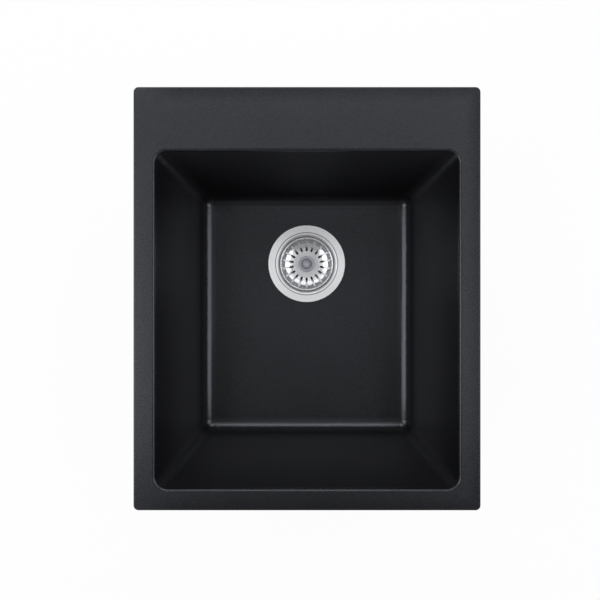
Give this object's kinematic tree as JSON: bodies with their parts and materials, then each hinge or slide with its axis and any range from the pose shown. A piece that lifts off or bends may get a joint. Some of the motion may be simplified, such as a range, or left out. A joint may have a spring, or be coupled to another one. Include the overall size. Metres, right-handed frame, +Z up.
{
  "type": "kitchen sink",
  "caption": "Black quartz composite inset kitchen sink: one deep square bowl, a flat tap deck at the back, a lift-out stainless basket strainer waste and worktop clamps under the rim.",
  "frame": {"origin": "middle of the rim's outline, on the worktop surface that the rim seal rests on", "axes": "+X right seen from the front, +Y to the back where the tap deck is, +Z up"},
  "size_m": [0.41, 0.5, 0.302],
  "materials": {
    "quartz": "matt, finely grained",
    "seal_foam": "closed-cell foam",
    "stainless": "brushed in rings",
    "stainless_fixing": "plain turned",
    "black_rubber": "matt",
    "waste_plastic": "moulded",
    "knob_plastic": "satin",
    "brass": "turned",
    "zinc_steel": "bright zinc plated"
  },
  "bodies": {
    "root": {"sink_bowl": "quartz", "rim_seal": "seal_foam", "waste_flange": "stainless", "flange_gasket": "black_rubber", "body_gasket": "black_rubber", "waste_body": "waste_plastic", "waste_screw": "stainless_fixing", "screw_washer": "stainless_fixing", "waste_nut": "brass", "clamp_inserts": "brass"},
    "basket": {"strainer_basket": "stainless", "basket_knob": "knob_plastic", "basket_post": "stainless_fixing", "basket_seal": "black_rubber", "basket_washer": "stainless_fixing", "basket_nut": "stainless_fixing"},
    "washer_front_left": {"clamp_washer_front_left": "zinc_steel"},
    "screw_front_left": {"clamp_screw_front_left": "zinc_steel"},
    "arm_front_left": {"clamp_arm_front_left": "zinc_steel"},
    "washer_front_right": {"clamp_washer_front_right": "zinc_steel"},
    "screw_front_right": {"clamp_screw_front_right": "zinc_steel"},
    "arm_front_right": {"clamp_arm_front_right": "zinc_steel"},
    "washer_back_left": {"clamp_washer_back_left": "zinc_steel"},
    "screw_back_left": {"clamp_screw_back_left": "zinc_steel"},
    "arm_back_left": {"clamp_arm_back_left": "zinc_steel"},
    "washer_back_right": {"clamp_washer_back_right": "zinc_steel"},
    "screw_back_right": {"clamp_screw_back_right": "zinc_steel"},
    "arm_back_right": {"clamp_arm_back_right": "zinc_steel"}
  },
  "joints": [
    {"name": "basket_lift", "type": "slide", "parent": "root", "child": "basket", "axis": [0, 0, 1], "range_m": [0, 0.26]},
    {"name": "clamp_lift_front_left", "type": "slide", "parent": "root", "child": "washer_front_left", "axis": [0, 0, 1], "range_m": [0, 0.012]},
    {"name": "clamp_turn_front_left", "type": "hinge", "parent": "washer_front_left", "child": "screw_front_left", "pos_m": [-0.189, -0.145, -0.045], "axis": [0, 0, 1], "range_deg": [0, 5400]},
    {"name": "clamp_swing_front_left", "type": "hinge", "parent": "washer_front_left", "child": "arm_front_left", "pos_m": [-0.189, -0.145, -0.045], "axis": [0, 0, 1], "range_deg": [0, 90]},
    {"name": "clamp_lift_front_right", "type": "slide", "parent": "root", "child": "washer_front_right", "axis": [0, 0, 1], "range_m": [0, 0.012]},
    {"name": "clamp_turn_front_right", "type": "hinge", "parent": "washer_front_right", "child": "screw_front_right", "pos_m": [0.189, -0.145, -0.045], "axis": [0, 0, 1], "range_deg": [0, 5400]},
    {"name": "clamp_swing_front_right", "type": "hinge", "parent": "washer_front_right", "child": "arm_front_right", "pos_m": [0.189, -0.145, -0.045], "axis": [0, 0, -1], "range_deg": [0, 90]},
    {"name": "clamp_lift_back_left", "type": "slide", "parent": "root", "child": "washer_back_left", "axis": [0, 0, 1], "range_m": [0, 0.012]},
    {"name": "clamp_turn_back_left", "type": "hinge", "parent": "washer_back_left", "child": "screw_back_left", "pos_m": [-0.189, 0.095, -0.045], "axis": [0, 0, 1], "range_deg": [0, 5400]},
    {"name": "clamp_swing_back_left", "type": "hinge", "parent": "washer_back_left", "child": "arm_back_left", "pos_m": [-0.189, 0.095, -0.045], "axis": [0, 0, 1], "range_deg": [0, 90]},
    {"name": "clamp_lift_back_right", "type": "slide", "parent": "root", "child": "washer_back_right", "axis": [0, 0, 1], "range_m": [0, 0.012]},
    {"name": "clamp_turn_back_right", "type": "hinge", "parent": "washer_back_right", "child": "screw_back_right", "pos_m": [0.189, 0.095, -0.045], "axis": [0, 0, 1], "range_deg": [0, 5400]},
    {"name": "clamp_swing_back_right", "type": "hinge", "parent": "washer_back_right", "child": "arm_back_right", "pos_m": [0.189, 0.095, -0.045], "axis": [0, 0, -1], "range_deg": [0, 90]}
  ],
  "couplings": [
    {"joint": "clamp_turn_front_left", "follows": "clamp_lift_front_left", "rad_per_m": 7854},
    {"joint": "clamp_turn_front_right", "follows": "clamp_lift_front_right", "rad_per_m": 7854},
    {"joint": "clamp_turn_back_left", "follows": "clamp_lift_back_left", "rad_per_m": 7854},
    {"joint": "clamp_turn_back_right", "follows": "clamp_lift_back_right", "rad_per_m": 7854}
  ]
}
